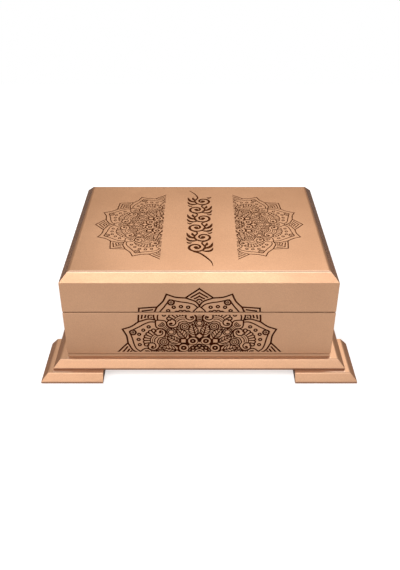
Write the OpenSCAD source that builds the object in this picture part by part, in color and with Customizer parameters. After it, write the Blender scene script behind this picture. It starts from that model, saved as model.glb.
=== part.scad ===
// Book box on a stepped plinth with four corner feet and a bevelled, hinged lid.
// Millimetres. The origin is on the ground under the middle of the box, +Z is up and the front faces -Y.

/* [Box] */
// Outside width of the box, left to right
box_w = 300; // [240:1:380]
// Outside depth of the box, front to back
box_d = 233; // [180:1:300]
// Height of the box walls, from the floor panel to the rim
wall_h = 57; // [40:1:90]
// Thickness of the wall boards and the lid rails
wall_t = 10; // [9:0.5:14]
// Thickness of the floor panel that the walls stand on
floor_t = 4; // [3:0.5:8]
// Ease on the outer arris of the box rim
rim_ease = 1.6; // [0.5:0.1:3]

/* [Lid] */
// Height of the lid rails, from the seam to the top panel
rail_h = 37.6; // [25:0.2:60]
// Ease on the outer lower arris of the lid rails
rail_ease = 0.6; // [0.2:0.1:1.5]
// Thickness of the lid's top panel
top_t = 10; // [6:0.5:14]
// Upright land under the bevel of the top panel
top_land = 0.4; // [0.2:0.1:2]
// Gap between the closed lid and the box rim
seam_gap = 0.4; // [0.3:0.05:0.8]

/* [Plinth] */
// Thickness of the plinth board
plinth_t = 10; // [8:0.5:16]
// Upright land under the bevel of the plinth board
plinth_land = 2.5; // [1:0.1:5]
// Flat shelf of the plinth beside the box, left and right
plinth_side = 8; // [4:0.1:15]
// Flat shelf of the plinth before and behind the box
plinth_front = 4.7; // [3:0.1:15]

/* [Feet] */
// Thickness of the corner feet
foot_t = 10; // [8:0.5:20]
// Upright land under the bevel of a foot
foot_land = 2.5; // [1:0.1:5]
// Length of a foot along the width and along the depth
foot_len = 70; // [40:1:90]
// Flat shelf of a foot beside the plinth, left and right
foot_side = 5.5; // [3:0.1:12]
// Flat shelf of a foot before and behind the plinth
foot_front = 4.3; // [3:0.1:12]

/* [Hinges] */
// Length of a hinge along its pin
hinge_len = 40; // [30:1:60]
// Distance from the side of the box to the middle of a hinge
hinge_inset = 55; // [35:1:80]
// Number of knuckles in a hinge
knuckle_count = 5; // [3:2:7]
// Outside radius of a knuckle
knuckle_r = 3; // [2.5:0.1:4]
// Clear space from the back of the box to the barrel
barrel_gap = 0.4; // [0.3:0.1:1.5]
// End gap between two knuckles, and clear space round them under the stop lugs
knuckle_gap = 0.3; // [0.2:0.05:0.5]
// Radius of the hinge pin
pin_r = 1.25; // [0.8:0.05:1.6]
// Radial clearance of the pin in its knuckles
pin_clear = 0.05; // [0.02:0.01:0.1]
// Thickness of a hinge leaf
leaf_t = 1.5; // [1.2:0.1:2]
// Width of a hinge leaf on the rim, from the back of the box inwards
leaf_w = 8; // [7:0.5:8.5]
// Clear space round a leaf in its mortise
mortise_clear = 0.1; // [0.05:0.05:0.3]
// Angle at which the stop lugs hold the lid
open_deg = 95; // [80:1:120]
// Angle left between the stop lugs of the fully opened lid
stop_slack = 0.8; // [0.4:0.1:2]
// Angle that a stop lug spans round the pin
lug_span = 36; // [25:1:40]
// Outside radius of a stop lug
lug_r = 5.4; // [5:0.1:7]

/* [Hinge screws] */
// Distance between the two screws of a leaf
screw_pitch = 24; // [16:1:26]
// Radius of a screw's shank
screw_r = 1.2; // [0.8:0.1:1.5]
// Radius of a screw's countersunk head
screw_head_r = 2.3; // [1.8:0.1:2.6]
// Length of a screw
screw_len = 12; // [8:0.5:18]
// Radial clearance of a screw in its hole
screw_clear = 0.05; // [0.02:0.01:0.1]
// Width and depth of the slot in a screw's head
slot_size = 0.6; // [0.4:0.1:0.8]

/* [Hidden] */
$fn = 48;
eps = 0.01;

paint = "#d0a27d";
paint_dark = "#b88b69";
brass = "#b8963e";
steel = "#a8a8ac";

// Heights of the stacked pieces
z_plinth = foot_t;
z_floor = z_plinth + plinth_t;
z_wall = z_floor + floor_t;
z_rim = z_wall + wall_h;
z_seam = z_rim + seam_gap / 2;
z_rail = z_rim + seam_gap;
z_top = z_rail + rail_h;

// Each bevel is cut at 45 degrees, so it runs in as far as it rises
plinth_run = plinth_t - plinth_land;
foot_run = foot_t - foot_land;
plinth_w = box_w + 2 * (plinth_side + plinth_run);
plinth_d = box_d + 2 * (plinth_front + plinth_run);
base_w = plinth_w + 2 * (foot_side + foot_run);
base_d = plinth_d + 2 * (foot_front + foot_run);

// The barrel lies behind the box, with its axis on the seam
barrel_off = knuckle_r + barrel_gap;
hinge_x = box_w / 2 - hinge_inset;
hinge_y = box_d / 2 + barrel_off;
zone = hinge_len / knuckle_count;
screw_y = -barrel_off - leaf_w / 2;
head_h = screw_head_r - screw_r;
tip_h = 2 * screw_r;

LEFT = -1;
RIGHT = 1;
BOX_HALF = 0;
LID_HALF = 1;

// Turns a flat outline so that its first axis runs along Y and its second along Z, and pulls it along X
module along_x(length) {
    rotate([90, 0, 90]) linear_extrude(length, center = true) children();
}

// Turns a flat outline so that its first axis runs along X and its second along Z, and pulls it along Y
module along_y(length) {
    rotate([90, 0, 0]) linear_extrude(length, center = true) children();
}

// Section of a board that is bevelled above its land on both sides
module two_bevel_section(span, t, land) {
    run = t - land;
    half = span / 2;
    polygon([[-half, 0], [half, 0], [half, land], [half - run, t], [run - half, t], [-half, land]]);
}

// Section of a foot, bevelled on its outer side only
module one_bevel_section(span, t, land) {
    run = t - land;
    polygon([[0, 0], [span, 0], [span, land], [span - run, t], [0, t]]);
}

// Flat board with a bevel round all four upper edges
module bevelled_board(w, d, t, land) {
    intersection() {
        along_x(w) two_bevel_section(d, t, land);
        along_y(d) two_bevel_section(w, t, land);
    }
}

// Corner foot, bevelled on its two outer sides and cut square on its two inner ones
module corner_foot(side_x, side_y) {
    reach = 2 * foot_len;
    mirror([side_x < 0 ? 1 : 0, 0, 0])
        mirror([0, side_y < 0 ? 1 : 0, 0])
            translate([base_w / 2 - foot_len, base_d / 2 - foot_len, 0])
                intersection() {
                    along_x(reach) one_bevel_section(foot_len, foot_t, foot_land);
                    along_y(reach) one_bevel_section(foot_len, foot_t, foot_land);
                }
}

// Section of a box wall, with its outer face at zero and its rim arris eased
module wall_section() {
    polygon([[0, 0], [wall_t, 0], [wall_t, wall_h], [rim_ease, wall_h], [0, wall_h - rim_ease]]);
}

// Section of a lid rail, with its outer face at zero and its lower arris eased
module rail_section() {
    polygon([[rail_ease, 0], [wall_t, 0], [wall_t, rail_h], [0, rail_h], [0, rail_ease]]);
}

// Front board of a frame: the section along X, mitred at both ends where it meets the side boards
module mitred_board(length, offset, height) {
    half = length / 2;
    intersection() {
        translate([0, -offset, 0]) along_x(length) children();
        linear_extrude(height)
            polygon([
                [-half, -offset], [half, -offset],
                [half - wall_t, wall_t - offset], [wall_t - half, wall_t - offset]
            ]);
    }
}

module long_wall() {
    translate([0, 0, z_wall]) mitred_board(box_w, box_d / 2, wall_h) wall_section();
}

module short_wall() {
    translate([0, 0, z_wall]) mitred_board(box_d, box_w / 2, wall_h) wall_section();
}

module long_rail() {
    translate([0, 0, z_rail]) mitred_board(box_w, box_d / 2, rail_h) rail_section();
}

module short_rail() {
    translate([0, 0, z_rail]) mitred_board(box_d, box_w / 2, rail_h) rail_section();
}

// Puts a shape at one hinge: the pin runs along X through the origin and +Y points away from the box
module at_hinge(side) {
    translate([side * hinge_x, hinge_y, z_seam]) children();
}

// Turns a half that is drawn above the seam into the one below it
module below_seam() {
    mirror([0, 0, 1]) children();
}

function zone_x(i) = (i - (knuckle_count - 1) / 2) * zone;
function polar(r, a) = [r * cos(a), r * sin(a)];

// Round bar along the pin
module pin_bar(r, length) {
    rotate([0, 90, 0]) cylinder(r = r, h = length, center = true);
}

// Wedge behind the barrel: its lower face meets that of the other half when the lid is fully open
module stop_lug() {
    from = (open_deg + stop_slack) / 2;
    to = from + lug_span;
    root = (pin_r + knuckle_r) / 2;
    along_x(hinge_len - knuckle_gap)
        polygon([polar(root, from), polar(lug_r, from), polar(lug_r, to), polar(root, to)]);
}

// Places for the two screws of a leaf, with the heads on the seam side of the leaf
module at_screws() {
    for (x = [-screw_pitch / 2, screw_pitch / 2])
        translate([x, screw_y, seam_gap / 2]) children();
}

// Hole and countersink for one screw, as wide as the screw and its clearance
module screw_hole() {
    cylinder(r = screw_r + screw_clear, h = screw_len + screw_clear);
    translate([0, 0, -eps])
        cylinder(r1 = screw_head_r + screw_clear + eps, r2 = screw_r + screw_clear, h = head_h + eps);
}

// Countersunk wood screw, head down, with a pointed tip and a slotted head
module screw() {
    difference() {
        rotate_extrude()
            polygon([
                [0, 0], [screw_head_r, 0], [screw_r, head_h],
                [screw_r, screw_len - tip_h], [0, screw_len]
            ]);
        translate([-screw_head_r, -slot_size / 2, -eps])
            cube([2 * screw_head_r, slot_size, slot_size + eps]);
    }
}

// Leaf of a hinge above the seam: the plate on the rim, its knuckles and its stop lug
module hinge_half(first) {
    knuckle_len = zone - knuckle_gap;
    difference() {
        union() {
            translate([-hinge_len / 2, -barrel_off - leaf_w, seam_gap / 2])
                cube([hinge_len, leaf_w, leaf_t]);
            difference() {
                stop_lug();
                for (i = [1 - first:2:knuckle_count - 1])
                    translate([zone_x(i), 0, 0]) pin_bar(knuckle_r + knuckle_gap, zone);
            }
            for (i = [first:2:knuckle_count - 1])
                translate([zone_x(i), 0, 0]) {
                    pin_bar(knuckle_r, knuckle_len);
                    translate([-knuckle_len / 2, -barrel_off, seam_gap / 2])
                        cube([knuckle_len, barrel_off, leaf_t]);
                }
        }
        pin_bar(pin_r + pin_clear, hinge_len + 2 * eps);
        at_screws() screw_hole();
    }
}

// Mortise for a leaf, open to the back of the box, with the pilot holes for its screws
module leaf_mortise() {
    width = leaf_w + mortise_clear;
    length = hinge_len + 2 * mortise_clear;
    translate([-length / 2, -barrel_off - width, seam_gap / 2 - eps])
        cube([length, width + barrel_off, leaf_t + eps]);
    at_screws() screw_hole();
}

module foot_front_left() {
    color(paint) corner_foot(LEFT, LEFT);
}

module foot_front_right() {
    color(paint) corner_foot(RIGHT, LEFT);
}

module foot_back_left() {
    color(paint) corner_foot(LEFT, RIGHT);
}

module foot_back_right() {
    color(paint) corner_foot(RIGHT, RIGHT);
}

module plinth_board() {
    color(paint) translate([0, 0, z_plinth]) bevelled_board(plinth_w, plinth_d, plinth_t, plinth_land);
}

module floor_panel() {
    color(paint_dark) translate([-box_w / 2, -box_d / 2, z_floor]) cube([box_w, box_d, floor_t]);
}

module box_front_wall() {
    color(paint) long_wall();
}

module box_back_wall() {
    color(paint)
        difference() {
            rotate([0, 0, 180]) long_wall();
            for (side = [LEFT, RIGHT]) at_hinge(side) below_seam() leaf_mortise();
        }
}

module box_left_wall() {
    color(paint_dark) rotate([0, 0, -90]) short_wall();
}

module box_right_wall() {
    color(paint_dark) rotate([0, 0, 90]) short_wall();
}

module lid_front_rail() {
    color(paint) long_rail();
}

module lid_back_rail() {
    color(paint)
        difference() {
            rotate([0, 0, 180]) long_rail();
            for (side = [LEFT, RIGHT]) at_hinge(side) leaf_mortise();
        }
}

module lid_left_rail() {
    color(paint_dark) rotate([0, 0, -90]) short_rail();
}

module lid_right_rail() {
    color(paint_dark) rotate([0, 0, 90]) short_rail();
}

module lid_top_panel() {
    color(paint) translate([0, 0, z_top]) bevelled_board(box_w, box_d, top_t, top_land);
}

module hinge_left_box_leaf() {
    color(brass) at_hinge(LEFT) below_seam() hinge_half(BOX_HALF);
}

module hinge_left_lid_leaf() {
    color(brass) at_hinge(LEFT) hinge_half(LID_HALF);
}

module hinge_left_pin() {
    color(steel) at_hinge(LEFT) pin_bar(pin_r, hinge_len);
}

module hinge_right_box_leaf() {
    color(brass) at_hinge(RIGHT) below_seam() hinge_half(BOX_HALF);
}

module hinge_right_lid_leaf() {
    color(brass) at_hinge(RIGHT) hinge_half(LID_HALF);
}

module hinge_right_pin() {
    color(steel) at_hinge(RIGHT) pin_bar(pin_r, hinge_len);
}

module box_hinge_screws() {
    color(brass) for (side = [LEFT, RIGHT]) at_hinge(side) below_seam() at_screws() screw();
}

module lid_hinge_screws() {
    color(brass) for (side = [LEFT, RIGHT]) at_hinge(side) at_screws() screw();
}

foot_front_left();
foot_front_right();
foot_back_left();
foot_back_right();
plinth_board();
floor_panel();
box_front_wall();
box_back_wall();
box_left_wall();
box_right_wall();
lid_front_rail();
lid_back_rail();
lid_left_rail();
lid_right_rail();
lid_top_panel();
hinge_left_box_leaf();
hinge_left_lid_leaf();
hinge_left_pin();
hinge_right_box_leaf();
hinge_right_lid_leaf();
hinge_right_pin();
box_hinge_screws();
lid_hinge_screws();
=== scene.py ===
# %% [markdown]
# # A lidded quran box in gold paint
# The real box is joined from sawn boards: four corner feet, a plinth, a floor panel, four mitred walls,
# and a lid of four mitred rails under a bevelled top. All of it is sprayed in one satin gold metallic
# paint, and a laser has burnt a mandala across the front and more ornament into the lid.
# The construction model is loaded as a fixed frame, so every board can be modelled exactly where it
# belongs. The loaded solids are right in size but have dead sharp edges, so each board is rebuilt with
# the small roundings that catch the light.

# %% Load the construction model
import math

import bmesh
import bpy
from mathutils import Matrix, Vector
from mathutils.geometry import delaunay_2d_cdt


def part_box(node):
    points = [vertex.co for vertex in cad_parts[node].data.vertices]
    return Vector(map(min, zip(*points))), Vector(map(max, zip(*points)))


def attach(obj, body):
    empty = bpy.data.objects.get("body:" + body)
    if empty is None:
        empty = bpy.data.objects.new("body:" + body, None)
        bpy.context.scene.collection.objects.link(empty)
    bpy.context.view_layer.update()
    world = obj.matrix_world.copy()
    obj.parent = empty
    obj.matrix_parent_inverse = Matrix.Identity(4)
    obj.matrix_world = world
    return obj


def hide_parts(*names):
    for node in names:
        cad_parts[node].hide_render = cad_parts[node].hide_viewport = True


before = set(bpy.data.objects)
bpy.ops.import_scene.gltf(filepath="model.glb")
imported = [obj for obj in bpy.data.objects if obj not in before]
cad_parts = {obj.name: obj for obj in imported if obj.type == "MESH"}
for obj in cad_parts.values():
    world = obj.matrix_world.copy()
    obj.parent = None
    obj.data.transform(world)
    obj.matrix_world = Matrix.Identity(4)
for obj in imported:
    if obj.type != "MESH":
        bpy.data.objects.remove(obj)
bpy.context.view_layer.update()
MM = 0.001
print("construction model:", len(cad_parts), "nodes")

# %% [markdown]
# ## The camera
# The box was photographed from straight in front and about 33 degrees above the ground, from less than a
# metre away, so the far edge of the lid is clearly narrower than the near one. A camera could be aimed by
# eye, but the corners of the feet, the plinth and the lid fix its height, distance and lens closely, and
# those values are written here.

# %% Place the camera
CAMERA_PLACE = (0.00095, -0.71587, 0.50682)
CAMERA_TILT = 56.986
CAMERA_LENS = 42.375
CAMERA_SENSOR = 36
CAMERA_NEAREST = 0.01

bpy.ops.object.select_all(action="DESELECT")
bpy.ops.object.camera_add(location=CAMERA_PLACE, rotation=(math.radians(CAMERA_TILT), 0, 0))
camera = bpy.context.object
camera.name = "camera"
camera.data.lens = CAMERA_LENS
camera.data.sensor_width = CAMERA_SENSOR
camera.data.clip_start = CAMERA_NEAREST
bpy.context.scene.camera = camera
print("camera looks down at", round(90 - CAMERA_TILT, 2), "degrees")

# %% [markdown]
# ## Building finishes from nodes
# A finish is a small tree of nodes that ends in one shader. In the node editor each node is added and
# joined by hand. A few helpers do the same here, because every finish needs the same kinds of node: a
# ramp between two colours, a range for the roughness, one colour multiplied by another, and one laid over
# another where faces are marked.

# %% Helpers for finishes
COLOUR_A, COLOUR_B, COLOUR_OUT = 6, 7, 2


def new_finish(name):
    """Makes a material and returns it with its shader, and with a short way to add and join nodes"""
    finish = bpy.data.materials.new(name)
    finish.use_nodes = True
    tree = finish.node_tree
    shader = tree.nodes["Principled BSDF"]

    def add(kind, **inputs):
        node = tree.nodes.new(kind)
        for socket, value in inputs.items():
            if isinstance(value, bpy.types.NodeSocket):
                tree.links.new(value, node.inputs[socket])
            else:
                node.inputs[socket].default_value = value
        return node

    def join(output, socket):
        tree.links.new(output, socket)

    return finish, shader, add, join


def set_range(node, low, high):
    """Makes a Map Range node turn 0 to 1 into low to high"""
    node.inputs["To Min"].default_value = low
    node.inputs["To Max"].default_value = high
    return node


def set_ramp(node, first, last, start=0.0, end=1.0):
    """Gives a Color Ramp its two colours and their places"""
    node.color_ramp.elements[0].color = first
    node.color_ramp.elements[1].color = last
    node.color_ramp.elements[0].position = start
    node.color_ramp.elements[1].position = end
    return node


def multiply_colours(add, join, first, second):
    """Multiplies two colours"""
    node = add("ShaderNodeMix")
    node.data_type = "RGBA"
    node.blend_type = "MULTIPLY"
    node.inputs["Factor"].default_value = 1
    join(first, node.inputs[COLOUR_A])
    join(second, node.inputs[COLOUR_B])
    return node.outputs[COLOUR_OUT]


def lay_over(add, join, under, mark, colour):
    """Mixes a colour over another one where the faces have a mark"""
    where = add("ShaderNodeAttribute")
    where.attribute_name = mark
    node = add("ShaderNodeMix")
    node.data_type = "RGBA"
    join(where.outputs["Fac"], node.inputs["Factor"])
    join(under, node.inputs[COLOUR_A])
    node.inputs[COLOUR_B].default_value = colour
    return node.outputs[COLOUR_OUT]


# %% [markdown]
# ## Gold paint
# Sprayed metallic paint is a clear film full of tiny flakes that lie nearly flat. It is bright seen face
# on and dark seen along the surface, which is why the side bevels of the lid look so much darker than its
# top. A plain yellow metal would not do that, so the shader's own edge tint darkens the glancing view.
# Fine cells stand in for the flakes, a shallow ripple for the sprayed film, and slow clouds for the
# uneven coat. A paler colour is painted on as a highlight along some arrises and on the shelves before
# the boards above them, and a brown is painted on as shade on the upright edges and at the seam. Two
# attributes named rubbed and soaked say where, and the faces that have them are
# marked later.

# %% Make the gold paint
PAINT_DEEP = (0.452, 0.254, 0.151, 1)
PAINT_PALE = (0.518, 0.297, 0.180, 1)
# painted highlight: a paler gold for the marked arrises and shelves
PAINTED_HIGHLIGHT_COLOUR = (0.70, 0.45, 0.31, 1)
# painted shade: a brown for the marked upright edges and the rims at the seam
PAINTED_SHADE_COLOUR = (0.300, 0.165, 0.108, 1)
PAINT_EDGE_TINT = (0, 0, 0, 1)
PAINT_METALLIC = 0.80
PAINT_ROUGHNESS = (0.30, 0.40)
FLAKE_DARK = (0.90, 0.90, 0.90, 1)
FLAKE_BRIGHT = (1.08, 1.07, 1.05, 1)
CLOUD_SCALE = 9
CLOUD_SPREAD = (0.3, 0.7)
FLAKE_SCALE = 1500
HAZE_SCALE = 34
RIPPLE_SCALE = 420
RIPPLE_HEIGHT = 0.0004
FLAKE_HEIGHT = 0.00015
PAINT_BUMP = 0.10

gold, shader, add, join = new_finish("gold_paint")
place = add("ShaderNodeTexCoord").outputs["Object"]
clouds = add("ShaderNodeTexNoise", Vector=place, Scale=CLOUD_SCALE, Detail=3.0)
coat = set_ramp(add("ShaderNodeValToRGB", Fac=clouds.outputs["Fac"]), PAINT_DEEP, PAINT_PALE, *CLOUD_SPREAD)
flakes = add("ShaderNodeTexVoronoi", Vector=place, Scale=FLAKE_SCALE)
glint = set_ramp(add("ShaderNodeValToRGB", Fac=flakes.outputs["Color"]), FLAKE_DARK, FLAKE_BRIGHT)
# the painted highlight, then the painted shade, are laid over the coat where the faces are marked
painted_light_coat = lay_over(add, join, coat.outputs["Color"], "rubbed", PAINTED_HIGHLIGHT_COLOUR)
painted_light_coat = lay_over(add, join, painted_light_coat, "soaked", PAINTED_SHADE_COLOUR)
join(multiply_colours(add, join, painted_light_coat, glint.outputs["Color"]), shader.inputs["Base Color"])
haze = add("ShaderNodeTexNoise", Vector=place, Scale=HAZE_SCALE, Detail=5.0)
sheen = set_range(add("ShaderNodeMapRange", Value=haze.outputs["Fac"]), *PAINT_ROUGHNESS)
join(sheen.outputs["Result"], shader.inputs["Roughness"])
ripple = add("ShaderNodeTexNoise", Vector=place, Scale=RIPPLE_SCALE, Detail=2.0)
film = add("ShaderNodeBump", Height=ripple.outputs["Fac"], Strength=PAINT_BUMP, Distance=RIPPLE_HEIGHT)
grain = add("ShaderNodeBump", Height=flakes.outputs["Color"], Normal=film.outputs["Normal"],
            Strength=PAINT_BUMP, Distance=FLAKE_HEIGHT)
join(grain.outputs["Normal"], shader.inputs["Normal"])
shader.inputs["Metallic"].default_value = PAINT_METALLIC
shader.inputs["Specular Tint"].default_value = PAINT_EDGE_TINT
print("finish:", gold.name)

# %% [markdown]
# ## Scorched lines
# Where the laser has passed, the paint is gone and the wood fibre below it is burnt to a dull dark brown.
# It could be painted on as a pattern, but the burn is a real groove, so it is modelled, and it only needs
# a finish of its own: very rough, hardly shiny, and mottled where the beam dwelt longer. The same finish
# is made twice, with two pairs of colours: the lid gets a lighter, redder copy, a painted sheen for the
# light that its fine lines catch where the top of the lid is seen at a low angle.

# %% Make the scorched finishes
CHARRED = ((0.022, 0.0034, 0.0006, 1), (0.072, 0.0130, 0.0024, 1))
# a lighter, redder copy of the burnt colours: painted sheen for the lines on the lid
PAINTED_SHEEN_TONES = ((0.060, 0.015, 0.003, 1), (0.130, 0.037, 0.009, 1))
MOTTLE_SCALE = 150.0
MOTTLE_SPREAD = (0.3, 0.75)
BURNT_ROUGHNESS = (0.7, 0.9)
BURNT_SHINE = 0.02
FIBRE_SCALE = 1600.0
FIBRE_BUMP = 0.4
FIBRE_HEIGHT = 0.0002


def burnt_fibre(name, dark, pale):
    """A dull, mottled brown"""
    finish, shader, add, join = new_finish(name)
    place = add("ShaderNodeTexCoord").outputs["Object"]
    mottle = add("ShaderNodeTexNoise", Vector=place, Scale=MOTTLE_SCALE, Detail=4.0)
    tone = set_ramp(add("ShaderNodeValToRGB", Fac=mottle.outputs["Fac"]), dark, pale, *MOTTLE_SPREAD)
    join(tone.outputs["Color"], shader.inputs["Base Color"])
    rough = set_range(add("ShaderNodeMapRange", Value=mottle.outputs["Fac"]), *BURNT_ROUGHNESS)
    join(rough.outputs["Result"], shader.inputs["Roughness"])
    fibre = add("ShaderNodeTexNoise", Vector=place, Scale=FIBRE_SCALE, Detail=3.0)
    fuzz = add("ShaderNodeBump", Height=fibre.outputs["Fac"], Strength=FIBRE_BUMP, Distance=FIBRE_HEIGHT)
    join(fuzz.outputs["Normal"], shader.inputs["Normal"])
    shader.inputs["Specular IOR Level"].default_value = BURNT_SHINE
    return finish


charred = burnt_fibre("charred_fibre", *CHARRED)
# the lighter copy is the burnt finish with painted sheen, for the lid
burnt_with_painted_sheen = burnt_fibre("burnt_fibre_painted_sheen", *PAINTED_SHEEN_TONES)
print("finishes:", charred.name, burnt_with_painted_sheen.name)

# %% [markdown]
# ## Hinge brass and drawn steel
# The hinges at the back are small brass stop hinges with steel pins. Their loaded solids already have the
# right shape, with knuckles, stop lugs and screw heads, so they stay and only need a finish. Rolled brass
# shows fine lines along its length and dull patches where it has been handled, and a drawn pin shows
# lines along its axis.

# %% Make the metals and dress the hinges
BRASS_TONES = ((0.50, 0.32, 0.12, 1), (0.72, 0.50, 0.22, 1))
BRASS_LINES = (0.3, 9, 9)
BRASS_ROUGHNESS = (0.24, 0.44)
STEEL_TONES = ((0.36, 0.36, 0.37, 1), (0.58, 0.58, 0.59, 1))
STEEL_LINES = (0.3, 14, 14)
STEEL_ROUGHNESS = (0.20, 0.38)
LINE_SCALE = 60.0
PATCH_SCALE = 90.0
PATCH_SPREAD = (0.3, 0.7)
SCRATCH_BUMP = 0.12
SCRATCH_HEIGHT = 0.0002


def brushed_metal(name, tones, stretch, roughness):
    """A metal with fine lines along one direction and uneven polish"""
    finish, shader, add, join = new_finish(name)
    place = add("ShaderNodeTexCoord").outputs["Object"]
    stretched = add("ShaderNodeMapping", Vector=place, Scale=stretch)
    lines = add("ShaderNodeTexNoise", Vector=stretched.outputs["Vector"], Scale=LINE_SCALE, Detail=4.0)
    patches = add("ShaderNodeTexNoise", Vector=place, Scale=PATCH_SCALE, Detail=3.0)
    tone = set_ramp(add("ShaderNodeValToRGB", Fac=patches.outputs["Fac"]), *tones, *PATCH_SPREAD)
    join(tone.outputs["Color"], shader.inputs["Base Color"])
    polish = set_range(add("ShaderNodeMapRange", Value=lines.outputs["Fac"]), *roughness)
    join(polish.outputs["Result"], shader.inputs["Roughness"])
    scratches = add("ShaderNodeBump", Height=lines.outputs["Fac"], Strength=SCRATCH_BUMP,
                    Distance=SCRATCH_HEIGHT)
    join(scratches.outputs["Normal"], shader.inputs["Normal"])
    shader.inputs["Metallic"].default_value = 1
    return finish


brass = brushed_metal("hinge_brass", BRASS_TONES, BRASS_LINES, BRASS_ROUGHNESS)
steel = brushed_metal("hinge_pin", STEEL_TONES, STEEL_LINES, STEEL_ROUGHNESS)


def paint_node(node, finish):
    """Gives a node of the construction model one finish"""
    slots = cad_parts[node].data.materials
    slots.clear()
    slots.append(finish)


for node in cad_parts:
    if node.endswith("_pin"):
        paint_node(node, steel)
    elif node.startswith("hinge_") or node.endswith("_screws"):
        paint_node(node, brass)
    else:
        paint_node(node, gold)
print("dressed nodes:", len(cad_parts))

# %% [markdown]
# ## Working on a board
# A board starts as a cube. The helpers below do what the mouse would: add the block, take hold of it, and
# open it in edit mode to work on its corners, edges or faces. Later cells pick edges by their place and
# not by their number, so the steps still fit when a size changes.

# %% Helpers that add and open a block
NEAR = 0.01 * MM
SAW_NEAR = NEAR / 10


def start_fresh():
    """Leaves edit mode and deselects everything"""
    if bpy.context.mode != "OBJECT":
        bpy.ops.object.mode_set(mode="OBJECT")
    bpy.ops.object.select_all(action="DESELECT")


def take(piece):
    """Selects one object and makes it the active one"""
    start_fresh()
    bpy.context.view_layer.objects.active = piece
    piece.select_set(True)


def add_block(name, low, high):
    """Adds a cube and scales it to fill the box between two corners"""
    start_fresh()
    bpy.ops.mesh.primitive_cube_add(size=1, location=(Vector(low) + Vector(high)) / 2)
    block = bpy.context.object
    block.name = name
    block.data.name = name
    block.scale = Vector(high) - Vector(low)
    bpy.ops.object.transform_apply(location=True, rotation=True, scale=True)
    return block


def edit(piece, mode):
    """Opens a piece in edit mode with nothing selected, to work on its VERT, EDGE or FACE elements"""
    take(piece)
    bpy.ops.object.mode_set(mode="EDIT")
    bpy.ops.mesh.select_mode(type=mode)
    bpy.ops.mesh.select_all(action="DESELECT")
    return bmesh.from_edit_mesh(piece.data)


def edit_all(piece, mode="VERT"):
    """Opens a piece in edit mode with all of it selected"""
    edit(piece, mode)
    bpy.ops.mesh.select_all(action="SELECT")


# %% [markdown]
# ### Bevels and sanded edges
# A sawn edge is never quite sharp: sanding and paint round it, and that thin rounding is what catches the
# light. A Bevel modifier could round a whole piece at once, but here some edges get a wide bevel, some a
# blunt rounding and some stay sharp, so each kind is picked by a test and bevelled in edit mode.

# %% Helpers that bevel
ARRIS = 0.35 * MM
ARRIS_STEPS = 3
SHARP_ANGLE = math.radians(20)
BLUNT_ANGLE = math.radians(60)


def bevel_edges(piece, wanted, size, steps=1):
    """Bevels the edges that pass a test of their two ends and the angle between their faces"""
    mesh = edit(piece, "EDGE")
    picked = 0
    for edge in mesh.edges:
        a, b = (corner.co for corner in edge.verts)
        if wanted(a, b, edge.calc_face_angle(0)):
            edge.select_set(True)
            picked += 1
    bmesh.update_edit_mesh(piece.data)
    bpy.ops.mesh.bevel(offset=size, segments=steps, affect="EDGES")
    bpy.ops.object.mode_set(mode="OBJECT")
    return picked


def soften(piece, keep_sharp=None):
    """Rounds every sharp arris, except where a test of its two ends says that it stays"""

    def sharp(a, b, angle):
        return angle > SHARP_ANGLE and not (keep_sharp and keep_sharp(a, b))

    return bevel_edges(piece, sharp, ARRIS, ARRIS_STEPS)


def both_at(a, b, axis, value):
    """True if both ends of an edge lie at one value along an axis"""
    return abs(a[axis] - value) < NEAR and abs(b[axis] - value) < NEAR


def round_over(piece, height, size, steps):
    """Rounds the blunt arris between a bevel and the flat top that ends it"""

    def blunt(a, b, angle):
        return both_at(a, b, 2, height) and angle < BLUNT_ANGLE

    return bevel_edges(piece, blunt, size, steps)


# %% [markdown]
# ### Marks and handing over
# A finished piece is painted, fixed to the body that it moves with, and named as the stand-in for its
# node of the construction model. Attributes on its faces tell the paint where a highlight or shade is
# painted on. The count of open edges shows that the piece is a closed body, as a solid board is.

# %% Helpers that mark and hand over


def mark_faces(piece, name, share):
    """Gives a piece an attribute whose value on each face, from 0 to 1, a function tells"""
    marks = piece.data.attributes.new(name, "FLOAT", "FACE")
    for face, mark in zip(piece.data.polygons, marks.data):
        mark.value = share(face)
    return sum(mark.value > 0 for mark in marks.data)


def triangles(piece):
    """Counts a piece's triangles"""
    return sum(len(face.vertices) - 2 for face in piece.data.polygons)


def open_edges(piece):
    """Counts the edges that aren't shared by two faces, which a closed body has none of"""
    mesh = bmesh.new()
    mesh.from_mesh(piece.data)
    count = sum(not edge.is_manifold for edge in mesh.edges)
    mesh.free()
    return count


def hand_over(piece, body, finish, *nodes):
    """Paints a finished piece, fixes it to its body and says which nodes it stands for"""
    start_fresh()
    piece.data.materials.clear()
    piece.data.materials.append(finish)
    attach(piece, body)
    if nodes:
        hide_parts(*nodes)
    print(piece.name, "rides on", body)
    print("  triangles:", triangles(piece), "open edges:", open_edges(piece))


# %% [markdown]
# ## Painted light on the feet and the plinth
# The shelf that a lower board leaves in front of the next one, and more faintly the rounding above its
# front bevel, are painted paler as a highlight, and the upright edges are painted browner as shade. A mask
# painted by hand would show that too, but marks on whole faces are enough here. The shelf has to be a face
# of its own for that, so the piece is bisected along the front and the sides of what stands on it, and
# the marks are set by the lean and the place of each face.

# %% Helper that marks painted light and shade
UPRIGHT_LEAN = 0.3
ROUNDED_LEAN = 0.74
FLAT_LEAN = 0.99
# the share of the painted highlight that the rounded arrises get
ARRIS_HIGHLIGHT = 0.25


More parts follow.
